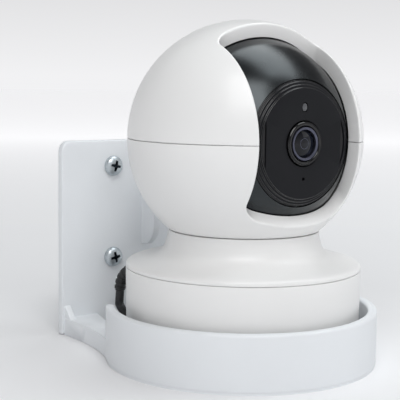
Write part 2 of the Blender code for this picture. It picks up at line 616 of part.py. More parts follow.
loft("usb_plug_body", [plug_section(2.6, 2.4, PLUG_END), plug_section(3.4, 3.0, PLUG_END - 5),
                       plug_section(7.4, 3.8, PLUG_END - 8), plug_section(7.4, 3.8, PLUG_END - 27)], "cord", BODY)
shell_rows = []
for y, half, high in ((PLUG_END - 27.3, 6.0, 2.25), (PLUG_END - 39.3, 6.0, 2.25), (PLUG_END - 39.3, 5.6, 1.85),
                      (PLUG_END - 31.0, 5.6, 1.85)):
    shell_rows.append([(PLUG_X + sx * half, y, PLUG_Z + sz * high)
                       for sx, sz in ((1, 1), (-1, 1), (-1, -1), (1, -1))])
loft("usb_plug_shell", shell_rows, "steel", BODY)
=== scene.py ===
"""Looks for the pan and tilt baby monitor camera in its wall bracket.  Lengths are in metres; the
drawing numbers are millimetres, as in the part, and MM turns them into metres."""
import math

import bmesh
import bpy
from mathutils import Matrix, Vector


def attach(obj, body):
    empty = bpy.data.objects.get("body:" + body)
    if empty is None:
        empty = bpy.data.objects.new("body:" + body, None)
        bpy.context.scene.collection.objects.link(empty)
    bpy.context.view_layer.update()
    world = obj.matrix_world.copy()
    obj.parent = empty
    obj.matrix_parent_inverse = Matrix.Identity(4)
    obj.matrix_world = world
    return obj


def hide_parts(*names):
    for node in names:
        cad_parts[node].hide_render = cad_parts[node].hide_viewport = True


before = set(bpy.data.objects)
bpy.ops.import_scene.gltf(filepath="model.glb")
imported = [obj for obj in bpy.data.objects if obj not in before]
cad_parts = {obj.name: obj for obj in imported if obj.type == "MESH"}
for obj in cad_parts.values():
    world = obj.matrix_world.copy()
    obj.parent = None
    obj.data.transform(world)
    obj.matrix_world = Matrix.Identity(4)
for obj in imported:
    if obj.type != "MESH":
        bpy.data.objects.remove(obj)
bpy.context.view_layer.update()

MM = 0.001
# The pan axis, and the height of the head's centre.
PAN_Y, BALL_Z = -16.4, 80.9
# The head's outer and inner radius, and the inner radius of the lip round its opening.
SHELL_R, SHELL_IN, RIM_R = 42.5, 40.7, 37.6
# The opening's half width, and its two ends in degrees above the horizon.
SLOT_HALF, SLOT_TOP, SLOT_LOW = 22.3, 74.0, -41.7
# The tilting ball's outer and inner radius, its half width, and the radius of its pin holes.
BLACK_R, BLACK_IN, BLACK_HALF, PIN_R = 37.2, 35.7, 25.5, 3.3
# The head's flat underside, the top of the neck, and half the gap at the head's seam.
HEAD_CUT, NECK_TOP, SEAM_GAP = 48.3, 48.1, 0.09
# The bracket's cup, its foot, its wall plate and the screws in it.
CUP_R, CUP_IN, CUP_Y, CUP_TOP, FOOT_TOP = 49.6, 46.2, 0.8, 20.2, 7.0
PLATE_HALF, PLATE_FRONT, PLATE_BACK, PLATE_TOP = 38.5, 66.0, 69.5, 77.3
SCREW_X, SCREW_Z = 15.4, (29.8, 66.9)
# The still base's underside, its circle of screws, and where they are on it, in degrees.
UNDER, SCREW_RING, BOSSES = 4.3, 36.5, (60, 210, 330)
# The face's front, as a distance from the head's centre, and the radius of its flat.
FACE_F, FACE_R = 32.15, 18.9
# The power port's place, and the bend where the lead turns down.
PORT_TURN, PORT_Z = 16.0, 26.5
BEND, BEND_OUT = 9.0, 51.4
# The lead, its coil, the plug at its far end and the tie round the coil.
CORD_R = 1.75
COIL_X, COIL_Y, COIL_MEAN, COIL_HALF = 18.0, 100.0, 21.0, 7.4
USB_X, USB_Z = 54.5, 4.1
TIE_Z, TIE_HIGH = 6.7, 5.4
BODY = (0.0, PAN_Y, 0.0)
HEAD = (0.0, PAN_Y, BALL_Z)
# Edges that turn by more degrees than this stay sharp.
SHARP = 32

# ---- camera --------------------------------------------------------------------------------------
# Degrees round from the front, distance from the pan axis, and height.
FACING, REACH, EYE_Z = 38.5, 388, 102.8
# Turns away from facing the pan axis, in degrees, then the film's width and the focal length.
YAW, PITCH, ROLL = -2.358, 6.533, 0.709
FILM, FOCAL = 36.0, 96.55


def add_camera():
    """The camera stands FACING degrees round from the front and looks a little down at the head."""
    turn = math.radians(FACING)
    yaw, pitch, roll = math.radians(YAW), math.radians(PITCH), math.radians(ROLL)
    eye = Vector((-REACH * math.sin(turn), PAN_Y - REACH * math.cos(turn), EYE_Z)) * MM
    forward = Vector((math.sin(turn), math.cos(turn), 0))
    right = Vector((math.cos(turn), -math.sin(turn), 0))
    ahead_h = forward * math.cos(yaw) + right * math.sin(yaw)
    right_h = right * math.cos(yaw) - forward * math.sin(yaw)
    gaze = ahead_h * math.cos(pitch) - Vector((0, 0, 1)) * math.sin(pitch)
    above = ahead_h * math.sin(pitch) + Vector((0, 0, 1)) * math.cos(pitch)
    side_on = right_h * math.cos(roll) + above * math.sin(roll)
    up_on = above * math.cos(roll) - right_h * math.sin(roll)
    lens = bpy.data.cameras.new("camera")
    lens.sensor_width = FILM
    lens.lens = FOCAL
    lens.clip_start = 0.01
    lens.clip_end = 50.0
    camera = bpy.data.objects.new("camera", lens)
    bpy.context.scene.collection.objects.link(camera)
    pose = camera.matrix_world.copy()
    for row in range(3):
        pose[row][:] = side_on[row], up_on[row], -gaze[row], eye[row]
    camera.matrix_world = pose
    bpy.context.scene.camera = camera


add_camera()


# ---- materials -----------------------------------------------------------------------------------
def material(name, colour, rough, metal=0.0, coat=0.0, specular=0.5):
    """A Principled material and its node tree; colour is linear."""
    made = bpy.data.materials.new(name)
    made.use_nodes = True
    tree = made.node_tree
    shader = tree.nodes["Principled BSDF"]
    shader.inputs["Base Color"].default_value = (*colour, 1.0)
    shader.inputs["Roughness"].default_value = rough
    shader.inputs["Metallic"].default_value = metal
    shader.inputs["Coat Weight"].default_value = coat
    shader.inputs["Coat Roughness"].default_value = 0.08
    shader.inputs["Specular IOR Level"].default_value = specular
    return made, tree, shader


def noise(tree, scale, detail=3.0, stretch=None):
    """A noise texture in object coordinates."""
    spot = tree.nodes.new("ShaderNodeTexCoord")
    node = tree.nodes.new("ShaderNodeTexNoise")
    node.inputs["Scale"].default_value = scale
    node.inputs["Detail"].default_value = detail
    if stretch:
        mapping = tree.nodes.new("ShaderNodeMapping")
        mapping.inputs["Scale"].default_value = stretch
        tree.links.new(spot.outputs["Object"], mapping.inputs["Vector"])
        tree.links.new(mapping.outputs["Vector"], node.inputs["Vector"])
    else:
        tree.links.new(spot.outputs["Object"], node.inputs["Vector"])
    return node.outputs["Fac"]


def ramp(tree, source, low, high, at=(0.35, 0.65)):
    """A colour between two, chosen by a value."""
    node = tree.nodes.new("ShaderNodeValToRGB")
    node.color_ramp.elements[0].position = at[0]
    node.color_ramp.elements[1].position = at[1]
    node.color_ramp.elements[0].color = (*low, 1.0)
    node.color_ramp.elements[1].color = (*high, 1.0)
    tree.links.new(source, node.inputs["Fac"])
    return node.outputs["Color"]


def spread(tree, source, low, high):
    """A noise value stretched to run from low to high."""
    node = tree.nodes.new("ShaderNodeMapRange")
    node.inputs["From Min"].default_value = 0.3
    node.inputs["From Max"].default_value = 0.7
    node.inputs["To Min"].default_value = low
    node.inputs["To Max"].default_value = high
    tree.links.new(source, node.inputs["Value"])
    return node.outputs["Result"]


def bump(tree, shader, source, depth, strength=1.0, after=None):
    """Relief on the shader's normal, over an earlier relief where one is given."""
    node = tree.nodes.new("ShaderNodeBump")
    node.inputs["Strength"].default_value = strength
    node.inputs["Distance"].default_value = depth
    tree.links.new(source, node.inputs["Height"])
    if after:
        tree.links.new(after, node.inputs["Normal"])
    tree.links.new(node.outputs["Normal"], shader.inputs["Normal"])
    return node.outputs["Normal"]


def plastic(name, colour, rough, grain, depth, vary=0.02, coat=0.0, specular=0.5):
    """Moulded plastic: fine spark-eroded grain, slow colour drift and uneven gloss."""
    made, tree, shader = material(name, colour, rough, 0.0, coat, specular)
    drift, uneven = noise(tree, 28.0, 4.0), noise(tree, 160.0, 5.0)
    darker = tuple(c * (1 - vary) for c in colour)
    lighter = tuple(min(1.0, c * (1 + vary)) for c in colour)
    tree.links.new(ramp(tree, drift, darker, lighter), shader.inputs["Base Color"])
    tree.links.new(spread(tree, uneven, rough - 0.035, rough + 0.035), shader.inputs["Roughness"])
    first = bump(tree, shader, noise(tree, 90.0, 2.0), depth * 3.0, 0.25)
    bump(tree, shader, noise(tree, grain, 2.0), depth, 0.6, first)
    return made


def metal(name, colour, rough, stretch, depth=0.00002):
    """Bare metal with drawn or turned marks."""
    made, tree, shader = material(name, colour, rough, 1.0)
    marks, uneven = noise(tree, 900.0, 4.0, stretch), noise(tree, 300.0, 4.0)
    darker = tuple(c * 0.82 for c in colour)
    tree.links.new(ramp(tree, marks, darker, colour), shader.inputs["Base Color"])
    tree.links.new(spread(tree, uneven, rough - 0.06, rough + 0.1), shader.inputs["Roughness"])
    bump(tree, shader, marks, depth, 0.5)
    return made


def circuit(name):
    """Solder mask with copper tracks and pads showing through."""
    made, tree, shader = material(name, (0.02, 0.16, 0.06), 0.35, 0.0, 0.3)
    spot = tree.nodes.new("ShaderNodeTexCoord")
    tracks = tree.nodes.new("ShaderNodeTexBrick")
    tracks.inputs["Scale"].default_value = 260.0
    tracks.inputs["Mortar Size"].default_value = 0.03
    tracks.inputs["Color1"].default_value = (0.015, 0.15, 0.05, 1.0)
    tracks.inputs["Color2"].default_value = (0.02, 0.19, 0.07, 1.0)
    tracks.inputs["Mortar"].default_value = (0.10, 0.30, 0.10, 1.0)
    tree.links.new(spot.outputs["Object"], tracks.inputs["Vector"])
    tree.links.new(tracks.outputs["Color"], shader.inputs["Base Color"])
    bump(tree, shader, tracks.outputs["Fac"], 0.00005, 0.5)
    return made


# How much finer a metal's marks are along each axis.
TURNED, DRAWN, ROUND = (1, 1, 6), (1, 1, 14), (1, 6, 1)
WHITE = plastic("white_satin", (0.83, 0.83, 0.825), 0.34, 2600.0, 0.000012, vary=0.012, coat=0.12)
BRACKET = plastic("bracket_white", (0.80, 0.825, 0.85), 0.46, 2000.0, 0.00002, vary=0.015)
GLOSS = plastic("ball_black", (0.0045, 0.0048, 0.0056), 0.25, 3000.0, 0.000004, vary=0.05, specular=0.58)
GLOSS.node_tree.nodes["Principled BSDF"].inputs["Specular Tint"].default_value = (0.87, 0.96, 1.0, 1.0)
MATTE = plastic("face_black", (0.0065, 0.007, 0.009), 0.40, 3800.0, 0.000012, vary=0.06, specular=0.16)
STEP = plastic("step_black", (0.006, 0.006, 0.0075), 0.24, 3800.0, 0.000004, vary=0.05, coat=0.3,
               specular=0.6)
GROOVE = plastic("groove_black", (0.006, 0.006, 0.007), 0.24, 3000.0, 0.000006, vary=0.05, specular=0.3)
RING = plastic("lens_ring_black", (0.004, 0.004, 0.0045), 0.16, 3000.0, 0.000003, vary=0.05, coat=0.2,
               specular=0.35)
SMOKE = plastic("smoked_window", (0.05, 0.052, 0.06), 0.18, 3000.0, 0.000002, vary=0.05, coat=0.6)
NATURAL = plastic("natural_plastic", (0.62, 0.58, 0.48), 0.45, 1800.0, 0.00002, vary=0.03)
CABLE = plastic("cable_sheath", (0.012, 0.012, 0.013), 0.48, 1500.0, 0.00003, vary=0.1)
PAD = plastic("rubber_pad", (0.02, 0.02, 0.02), 0.78, 1200.0, 0.00006, vary=0.1)
AMBER = plastic("antenna_film", (0.42, 0.16, 0.03), 0.30, 1500.0, 0.00001, vary=0.05)
ZINC = metal("zinc_plate", (0.60, 0.65, 0.68), 0.40, TURNED)
# Near-black blue metal for the faces of the driver's cross in the zinc screw heads: painted shade in the
# recess.
PAINTED_SHADE_RECESS = metal("driver_recess_painted_shade", (0.05, 0.065, 0.08), 0.45, TURNED)
STEEL = metal("drawn_steel", (0.52, 0.52, 0.54), 0.30, DRAWN)
BEVEL = metal("anodised_bevel", (0.12, 0.125, 0.17), 0.42, ROUND)
THIN = metal("thin_ring", (0.035, 0.035, 0.037), 0.30, ROUND)
BOARD = circuit("circuit_board")


def coated_glass():
    """Dark front element, with a painted blue sheen of its coating towards the rim, where the glass turns
    away from the view.
    """
    dark, painted_sheen = (0.002, 0.0025, 0.005), (0.010, 0.014, 0.026)
    made, tree, shader = material("coated_glass", dark, 0.03, 0.0, 0.0, 0.3)
    # Painted reflection: the base colour turns blue where the surface faces away from the view.
    edge = tree.nodes.new("ShaderNodeLayerWeight")
    edge.inputs["Blend"].default_value = 0.35
    colour = ramp(tree, edge.outputs["Facing"], dark, painted_sheen, (0.1, 0.8))
    tree.links.new(colour, shader.inputs["Base Color"])
    tree.links.new(spread(tree, noise(tree, 200.0), 0.02, 0.05), shader.inputs["Roughness"])
    return made


GLASS = coated_glass()


# ---- shaping -------------------------------------------------------------------------------------
def finish(bm, name, look, body, replaced=(), centre=BODY, sharp=SHARP):
    """A bmesh in millimetres about a centre becomes a piece that rides on a body."""
    bmesh.ops.remove_doubles(bm, verts=bm.verts, dist=1e-5)
    bmesh.ops.recalc_face_normals(bm, faces=bm.faces)
    for vert in bm.verts:
        vert.co = (vert.co + Vector(centre)) * MM
    mesh = bpy.data.meshes.new(name)
    bm.to_mesh(mesh)
    bm.free()
    made = bpy.data.objects.new(name, mesh)
    bpy.context.scene.collection.objects.link(made)
    mesh.shade_smooth()
    mesh.set_sharp_from_angle(angle=math.radians(sharp))
    if look:
        mesh.materials.append(look)
    if body:
        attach(made, body)
    if replaced:
        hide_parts(*replaced)
    return made


def cutter(bm, centre=BODY, look=None):
    """A solid that is joined to a piece or cut out of it, and then removed."""
    return finish(bm, "tool", look, None, centre=centre)


def skin(rows, ring=False, chain=False, caps=True):
    """Faces between rows of points: closed round each row, or open where the rows are chains."""
    bm = bmesh.new()
    grid = [[bm.verts.new(point) for point in row] for row in rows]
    size = len(grid[0])
    for i in range(len(grid) if ring else len(grid) - 1):
        one, two = grid[i], grid[(i + 1) % len(grid)]
        for j in range(size - 1 if chain else size):
            k = (j + 1) % size
            bm.faces.new((one[j], one[k], two[k], two[j]))
    if caps and not ring:
        bm.faces.new(grid[0])
        bm.faces.new(list(reversed(grid[-1])))
    return bm


def up(radius, along, angle, centre):
    """A point of a solid that is turned about a vertical axis."""
    return (centre[0] + radius * math.cos(angle), centre[1] + radius * math.sin(angle), centre[2] + along)


def ahead(radius, along, angle, centre):
    """A point of a solid that is turned about an axis towards the front."""
    return (centre[0] + radius * math.cos(angle), centre[1] - along, centre[2] + radius * math.sin(angle))


def across(radius, along, angle, centre):
    """A point of a solid that is turned about an axis from side to side."""
    return (centre[0] + along, centre[1] - radius * math.cos(angle), centre[2] + radius * math.sin(angle))


def soften(points, radius, closed=True, steps=3):
    """Round the corners of a profile; a radius never takes more than 0.45 of an edge."""
    out = []
    count = len(points)
    for i, point in enumerate(points):
        here = Vector(point)
        if not closed and i in (0, count - 1):
            out.append(tuple(here))
            continue
        before, after = Vector(points[i - 1]) - here, Vector(points[(i + 1) % count]) - here
        reach = min(radius, 0.45 * before.length, 0.45 * after.length)
        bend = math.degrees(before.angle(-after)) if before.length and after.length else 0
        if bend < 12:
            out.append(tuple(here))
            continue
        start, end = here + before.normalized() * reach, here + after.normalized() * reach
        for k in range(steps + 1):
            t = k / steps
            out.append(tuple(start * (1 - t) ** 2 + here * 2 * t * (1 - t) + end * t * t))
    return out


def turned(profile, way=up, steps=128, centre=(0, 0, 0), sector=None, radius=0.3, corner_steps=3):
    """A turned solid with softened corners."""
    chain = profile[0][0] == 0 and profile[-1][0] == 0
    outline = soften(profile, radius, not chain, corner_steps) if radius else profile
    if sector:
        angles = [math.radians(sector[0] + (sector[1] - sector[0]) * i / steps) for i in range(steps + 1)]
    else:
        angles = [2 * math.pi * i / steps for i in range(steps)]
    rows = [[way(r, a, angle, centre) for r, a in outline] for angle in angles]
    return skin(rows, sector is None, chain)


def drum(radius, low, high):
    """Profile of a plain cylinder."""
    return [(0, low), (radius, low), (radius, high), (0, high)]


def plan(u, v, depth):
    """A point of an outline seen from above."""
    return (u, v, depth)


def front(u, v, depth):
    """A point of an outline seen from the front."""
    return (u, depth, v)


def side(u, v, depth):
    """A point of an outline seen from the side."""
    return (depth, u, v)


def slab(outline, low, high, place, width=0.0, segments=3):
    """An extruded outline whose two rims are rounded over."""
    bm = skin([[place(u, v, depth) for u, v in outline] for depth in (low, high)])
    if width:
        caps = [face for face in bm.faces if len(face.verts) == len(outline)]
        edges = list({edge for face in caps for edge in face.edges})
        bmesh.ops.bevel(bm, geom=edges, offset=width, segments=segments, profile=0.5, affect="EDGES",
                        clamp_overlap=True)
    return bm


def modify(target, tool, operation):
    """Join a tool to a piece, or cut it out of the piece."""
    change = target.modifiers.new(operation.lower(), "BOOLEAN")
    change.operation = operation
    change.object = tool
    change.solver = "EXACT"
    return target


def settle(target, *tools):
    """Apply the modifiers, smooth again and drop the tools."""
    graph = bpy.context.evaluated_depsgraph_get()
    graph.update()
    mesh = bpy.data.meshes.new_from_object(target.evaluated_get(graph))
    target.modifiers.clear()
    target.data = mesh
    mesh.shade_smooth()
    mesh.set_sharp_from_angle(angle=math.radians(SHARP))
    for tool in tools:
        bpy.data.objects.remove(tool, do_unlink=True)
    return target


def turns_between(start, end, steps):
    """Evenly spaced angles, given in degrees."""
    return [math.radians(start + (end - start) * i / steps) for i in range(steps + 1)]


def arc(radius, start, end, steps):
    """An arc about the origin, with its angles from the first axis."""
    return [(radius * math.cos(angle), radius * math.sin(angle))
            for angle in turns_between(start, end, steps)]


def circle(radius, start, end, steps, centre=(0.0, 0.0)):
    """An arc in plan, with its angles from the front."""
    return [(centre[0] + radius * math.sin(angle), centre[1] - radius * math.cos(angle))
            for angle in turns_between(start, end, steps)]


def mirrored(points):
    """The same points on the other side, in reverse order."""
    return [(-x, y) for x, y in reversed(points)]


def polar(radius, degrees):
    """A place in plan round the pan axis."""
    return (radius * math.cos(math.radians(degrees)), radius * math.sin(math.radians(degrees)))


def rear(sideways, out, z):
    """A place given by its distance out through the power port, beside it and up."""
    angle = math.radians(PORT_TURN)
    return (sideways * math.cos(angle) - out * math.sin(angle),
            sideways * math.sin(angle) + out * math.cos(angle), z)


def curve_through(points, steps):
    """Catmull-Rom curve through points."""
    ends = [points[0]] + list(points) + [points[-1]]
    out = []
    for i in range(len(points) - 1):
        a, b, c, d = ends[i:i + 4]
        for k in range(steps):
            t = k / steps
            out.append(tuple(0.5 * (2 * b[n] + (c[n] - a[n]) * t
                                    + (2 * a[n] - 5 * b[n] + 4 * c[n] - d[n]) * t * t
                                    + (3 * b[n] - a[n] - 3 * c[n] + d[n]) * t ** 3) for n in range(len(b))))
    out.append(tuple(points[-1]))
    return out


def rounded_section(half, high, place, corner=0.4, steps=6):
    """A rounded rectangle as points given by place(u, v)."""
    radius = corner * min(half, high)
    points = []
    for cx, cy, begin in ((half - radius, high - radius, 0), (radius - half, high - radius, 90),
                          (radius - half, radius - high, 180), (half - radius, radius - high, 270)):
        for k in range(steps + 1):
            angle = math.radians(begin + 90 * k / steps)
            points.append(place(cx + radius * math.cos(angle), cy + radius * math.sin(angle)))
    return points


# ---- power lead ----------------------------------------------------------------------------------
# The distance from one turn to the next, where the coil starts in degrees, and its lowest layer.
TURN_GAP, COIL_START, COIL_LOW = 2 * CORD_R + 0.1, 200.0, 1.35 + CORD_R
# Turns side by side, layers, and the part of a turn that a shift to the next place takes.
ACROSS, LAYERS, SHIFT = 4, 3, 0.3


def coil_point(radius, degrees, z):
    """A place round the middle of the coil."""
    angle = math.radians(degrees)
    return (COIL_X + radius * math.cos(angle), COIL_Y + radius * math.sin(angle), z)


def coil_turns(count=36):
    """Turns side by side in layers, in and out by turns; each shifts to the next place over part of
    its length, the later turns before the earlier ones, and the last one climbs onto the coil."""
    radii = [COIL_MEAN + (1.5 - k) * TURN_GAP for k in range(ACROSS)]
    order = []
    for k in range(LAYERS):
        order += [(r, COIL_LOW + k * TURN_GAP) for r in (radii if k % 2 == 0 else reversed(radii))]
    order.append((radii[-1], COIL_LOW + LAYERS * TURN_GAP))
    points = []
    for n, (radius, level) in enumerate(order[:-1]):
        next_radius, next_level = order[n + 1]
        begin = 0.5 - 0.2 * (n // ACROSS) - (0.1 if n % ACROSS == ACROSS - 1 else 0.0)
        for k in range(count):
            part = k / count
            ease = min(1.0, max(0.0, (part - begin) / SHIFT))
            if n == len(order) - 2 and ease >= 1:
                break
            ease = ease * ease * (3 - 2 * ease)
            points.append(coil_point(radius + (next_radius - radius) * ease, COIL_START - 360.0 * part,
                                     level + (next_level - level) * ease))
    return points


def lead_route():
    """The lead's middle line, from the bend by the port, through the coil, to the plug."""
    x, y, z = rear(0, BEND_OUT + BEND, PORT_Z - BEND - 0.3)
    lead = [(x, y, z), (x - 0.2, y + 0.1, z - 4.0), (-15.6, 59.8, 10.8), (-12.0, 61.2, 6.2),
            (-7.2, 63.6, 3.2), (-3.6, 67.6, 2.1), (-3.4, 74.0, 2.1), (-4.9, 81.0, 2.9), (-6.3, 87.0, 3.1)]
    inner, top = COIL_MEAN - 1.5 * TURN_GAP, COIL_LOW + LAYERS * TURN_GAP
    tail = [coil_point(inner, 89, top), coil_point(inner + 1.0, 79, top + 0.1),
            coil_point(inner + 3.2, 68, top + 0.1), coil_point(inner + 6.6, 57, top + 0.1),
            coil_point(inner + 10.6, 46, top - 0.2), coil_point(inner + 14.4, 35, top - 2.0),
            coil_point(inner + 17.4, 24, top - 5.6), (52.6, 106.6, 5.2), (54.2, 102.4, 4.2),
            (USB_X, 98.3, USB_Z)]
    return curve_through(lead, 5) + coil_turns() + curve_through(tail, 4)


def add_lead(route):
    """The lead itself, as a round curve along its route."""
    curve = bpy.data.curves.new("power_lead", "CURVE")
    curve.dimensions = "3D"
    curve.bevel_depth = CORD_R * MM
    curve.bevel_resolution = 4
    curve.use_fill_caps = True
    spline = curve.splines.new("POLY")
    spline.points.add(len(route) - 1)
    for spot, point in zip(spline.points, route):
        spot.co = (*((Vector(point) + Vector(BODY)) * MM), 1.0)
    curve.materials.append(CABLE)
    power_lead = bpy.data.objects.new("power_lead", curve)
    bpy.context.scene.collection.objects.link(power_lead)
    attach(power_lead, "base")
    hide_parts("power_cord", "cord_coil", "cord_tail")
    return power_lead


def relief_rows(steps=72, around=40):
    """The strain relief's sections round its bend: a plain collar, then ribs, then a narrow mouth."""
    rows = []
    for i in range(steps + 1):
        part = i / steps
        angle = math.radians(90 * part)
        radius = 2.9 - 0.7 * part
        groove = math.cos(2 * math.pi * part * 6.5) < -0.15
        if groove and part >= 0.06:
            radius -= 0.32
        if i == steps:
            radius = 2.05
        row = []
        for j in range(around):
            spin = 2 * math.pi * j / around
            reach = BEND + radius * math.cos(spin)
            out = BEND_OUT + reach * math.sin(angle)
            row.append(rear(radius * math.sin(spin), out, PORT_Z - BEND + reach * math.cos(angle)))
        rows.append(row)
    return rows


def plug_row(half, high, out, corner=0.4):
    """A section of the plug in the power port."""
    return rounded_section(half, high, lambda u, v: rear(u, out, PORT_Z + v), corner)


def plug_rows():
    """The plug's sections: a flat tongue, a shoulder, a ribbed grip and a short neck."""
    rows = [plug_row(3.3, 0.85, 33.6, 0.3), plug_row(3.3, 0.85, 38.7, 0.3), plug_row(4.2, 2.6, 38.7),
            plug_row(4.6, 3.0, 39.2)]
    for k in range(7):
        rows.append(plug_row(4.6, 3.0, 42.8 + 0.7 * k))
        rows.append(plug_row(4.35 if k % 2 else 4.6, 2.8 if k % 2 else 3.0, 43.0 + 0.7 * k))
    rows += [plug_row(4.5, 3.0, BEND_OUT - 3.0), plug_row(4.1, 2.95, BEND_OUT - 1.7),
             plug_row(3.5, 2.85, BEND_OUT - 0.6), plug_row(3.1, 2.6, BEND_OUT - 0.3)]
    return rows


def usb_row(half, high, y, corner=0.45):
    """A section of the plug at the lead's far end."""
    return rounded_section(half, high, lambda u, v: (USB_X + u, y, USB_Z + v), corner)


def usb_rows():
    """The far plug's sections: a ribbed neck that widens into a grip with a waist."""
    rows = [usb_row(2.3, 2.1, 98.0, 0.9), usb_row(2.6, 2.4, 97.8, 0.9)]
    for k in range(4):
        rows += [usb_row(2.8 + 0.2 * k, 2.5 + 0.12 * k, 97.2 - 1.1 * k, 0.9),
                 usb_row(2.5 + 0.2 * k, 2.2 + 0.12 * k, 96.9 - 1.1 * k, 0.9)]
    rows += [usb_row(3.6, 3.1, 92.8, 0.8), usb_row(5.6, 3.5, 91.2, 0.6)]
    for half, high, y in ((7.0, 3.75, 90.0), (7.4, 3.8, 88.6), (7.4, 3.8, 84.0), (7.2, 3.45, 83.0),
                          (7.2, 3.45, 77.0), (7.4, 3.8, 76.0), (7.4, 3.8, 71.8), (7.1, 3.5, 71.0)):
        rows.append(usb_row(half, high, y))
    return rows


def tin_rows():
    """The far plug's steel tube, from its root to its mouth and back along the inside."""
    return [usb_row(half, high, y, 0.12)
            for half, high, y in ((6.0, 2.25, 70.7), (6.0, 2.25, 58.9), (5.9, 2.15, 58.7),
                                  (5.65, 1.9, 58.7), (5.6, 1.85, 59.2), (5.6, 1.85, 68.0))]


def tie_rows():
    """The tie: a flat band with rounded edges round one side of the coil."""
    rows = []
    for lift, grow in ((-2.0, 0.35), (-2.0, 1.0), (-1.4, 1.15), (1.4, 1.15), (2.0, 1.0), (2.0, 0.35)):
        rows.append(rounded_section(COIL_HALF + grow, TIE_HIGH + grow,
                                    lambda u, v: (COIL_X - COIL_MEAN + u, COIL_Y + lift, TIE_Z + v), 0.25))
    return rows


route = lead_route()
power_lead = add_lead(route)
gland = finish(skin(relief_rows()), "ribbed_strain_relief", CABLE, "base", ["strain_relief"])
plug = finish(skin(plug_rows()), "moulded_plug", CABLE, "base", ["power_plug"])
usb_body = finish(skin(usb_rows()), "usb_overmould", CABLE, "base", ["usb_plug_body"])
usb_tin = finish(skin(tin_rows()), "usb_tin_shell", STEEL, "base", ["usb_plug_shell"], sharp=50)
tie = finish(skin(tie_rows(), ring=True), "wrap_tie", PAD, "base", ["cord_tie"])
exit_point = [c * MM for c in (Vector(route[0]) + Vector(BODY))]

# ---- wall bracket --------------------------------------------------------------------------------
# The outside of one leg and the inside edge of the opening between the legs, seen from above.
LEG = [(42.0, 28.0), (41.0, 30.5), (40.3, 32.9), (39.8, 35.0), (39.2, 37.6), (38.8, 40.0), (38.4, 43.0),
       (38.0, 46.0), (37.8, 49.0), (37.7, 52.0), (37.7, 66.4)]
OPENING = [(22.0, 66.4), (24.3, 60.0), (26.0, 54.0), (27.0, 49.5), (27.6, 44.9)]
# The hub of the cup, and how far round from the front its back opening starts.
REAR, HUB = 145.9, (0.0, CUP_Y)


def floor_plate():
    """The bracket's thin floor: the disc under the camera and the two legs back to the wall."""
    legs = [(x - 0.25, y) for x, y in LEG]
    outline = circle(CUP_R - 0.3, -120, 120, 120, HUB) + legs + OPENING
    outline += circle(CUP_R + 0.1, REAR, 360 - REAR, 40, HUB) + mirrored(OPENING) + mirrored(legs)
    return slab(outline, 0.0, 3.0, plan)


def foot():
    """The thicker foot along the legs and behind the cup."""
    outline = circle(CUP_R - 0.2, 115.4, 119.4, 2, HUB) + LEG + OPENING
    outline += circle(CUP_R + 0.25, REAR, 360 - REAR, 40, HUB) + mirrored(OPENING) + mirrored(LEG)
    outline += circle(CUP_R - 0.2, 240.6, 244.6, 2, HUB) + circle(CUP_IN + 0.2, 244.6, 115.4, 66, HUB)
    return slab(outline, 0.4, FOOT_TOP, plan, 0.45)


def cup_wall():
    """The cup's wall, open at the back."""
    wall = [(CUP_IN, 0.5), (CUP_R, 0.5), (CUP_R, CUP_TOP), (CUP_IN, CUP_TOP)]
    return turned(wall, steps=150, centre=(*HUB, 0), sector=(-210.5, 30.5), radius=1.1, corner_steps=5)


def plate_rim(inset):
    """The wall plate's outline, rounded at its two upper corners."""
    half, high, radius = PLATE_HALF - inset, PLATE_TOP - inset, 4 - inset
    corner = [(half - radius + x, high - radius + z) for x, z in arc(radius, 0, 90, 12)]
    return [(-half, 0.3 + inset), (half, 0.3 + inset)] + corner + mirrored(corner)


def wall_plate():
    """The plate against the wall, with its edges rounded over."""
    rows = []
    for depth, inset in ((PLATE_FRONT, 0.75), (PLATE_FRONT + 0.1, 0.4), (PLATE_FRONT + 0.35, 0.12),
                         (PLATE_FRONT + 0.8, 0.0), (PLATE_BACK - 0.5, 0.0), (PLATE_BACK - 0.15, 0.12),
                         (PLATE_BACK, 0.4)):
        rows.append([front(u, v, depth) for u, v in plate_rim(inset)])
    return skin(rows)


def middle_rib():
    """The rounded rib that stands out of the middle of the plate."""
    outline = [(66.4, 34.0), (66.4, 60.0), (62.0, 59.6), (59.5, 58.0), (57.2, 55.2), (56.4, 52.0),
               (56.4, 42.0), (57.2, 38.8), (59.5, 36.0), (62.0, 34.4)]
    return slab(outline, -1.5, 1.5, side, 0.4)


def gusset(x):
    """A small brace between a leg and the plate."""
    return slab([(66.4, 6.6), (66.4, 12.2), (61.0, 6.6)], x - 1.3, x + 1.3, side, 0.3)


def foot_notch():
    """The notch in the foot of the plate that the lead can pass through."""
    half, low, mid, top = 8, FOOT_TOP - 1, FOOT_TOP - 0.3, FOOT_TOP
    outline = [(-half, -1), (half, -1), (half, low), (half - 0.3, mid), (half - 1, top), (1 - half, top),
               (0.3 - half, mid), (-half, low)]
    return slab(outline, PLATE_FRONT - 0.6, PLATE_BACK + 1, front)


bracket = finish(floor_plate(), "bracket_moulding", BRACKET, "base", ["wall_bracket"])
tools = [cutter(bm) for bm in (foot(), cup_wall(), wall_plate(), middle_rib(), gusset(-36.2), gusset(36.2))]
for tool in tools:
    modify(bracket, tool, "UNION")
screw_hole = drum(2.2, -PLATE_BACK - 1, -PLATE_FRONT + 1)
for x in (-SCREW_X, SCREW_X):
    for z in SCREW_Z:
        tools.append(cutter(turned(screw_hole, ahead, 32, (x, 0, z), radius=0)))
        modify(bracket, tools[-1], "DIFFERENCE")
tools.append(cutter(foot_notch()))
modify(bracket, tools[-1], "DIFFERENCE")
settle(bracket, *tools)

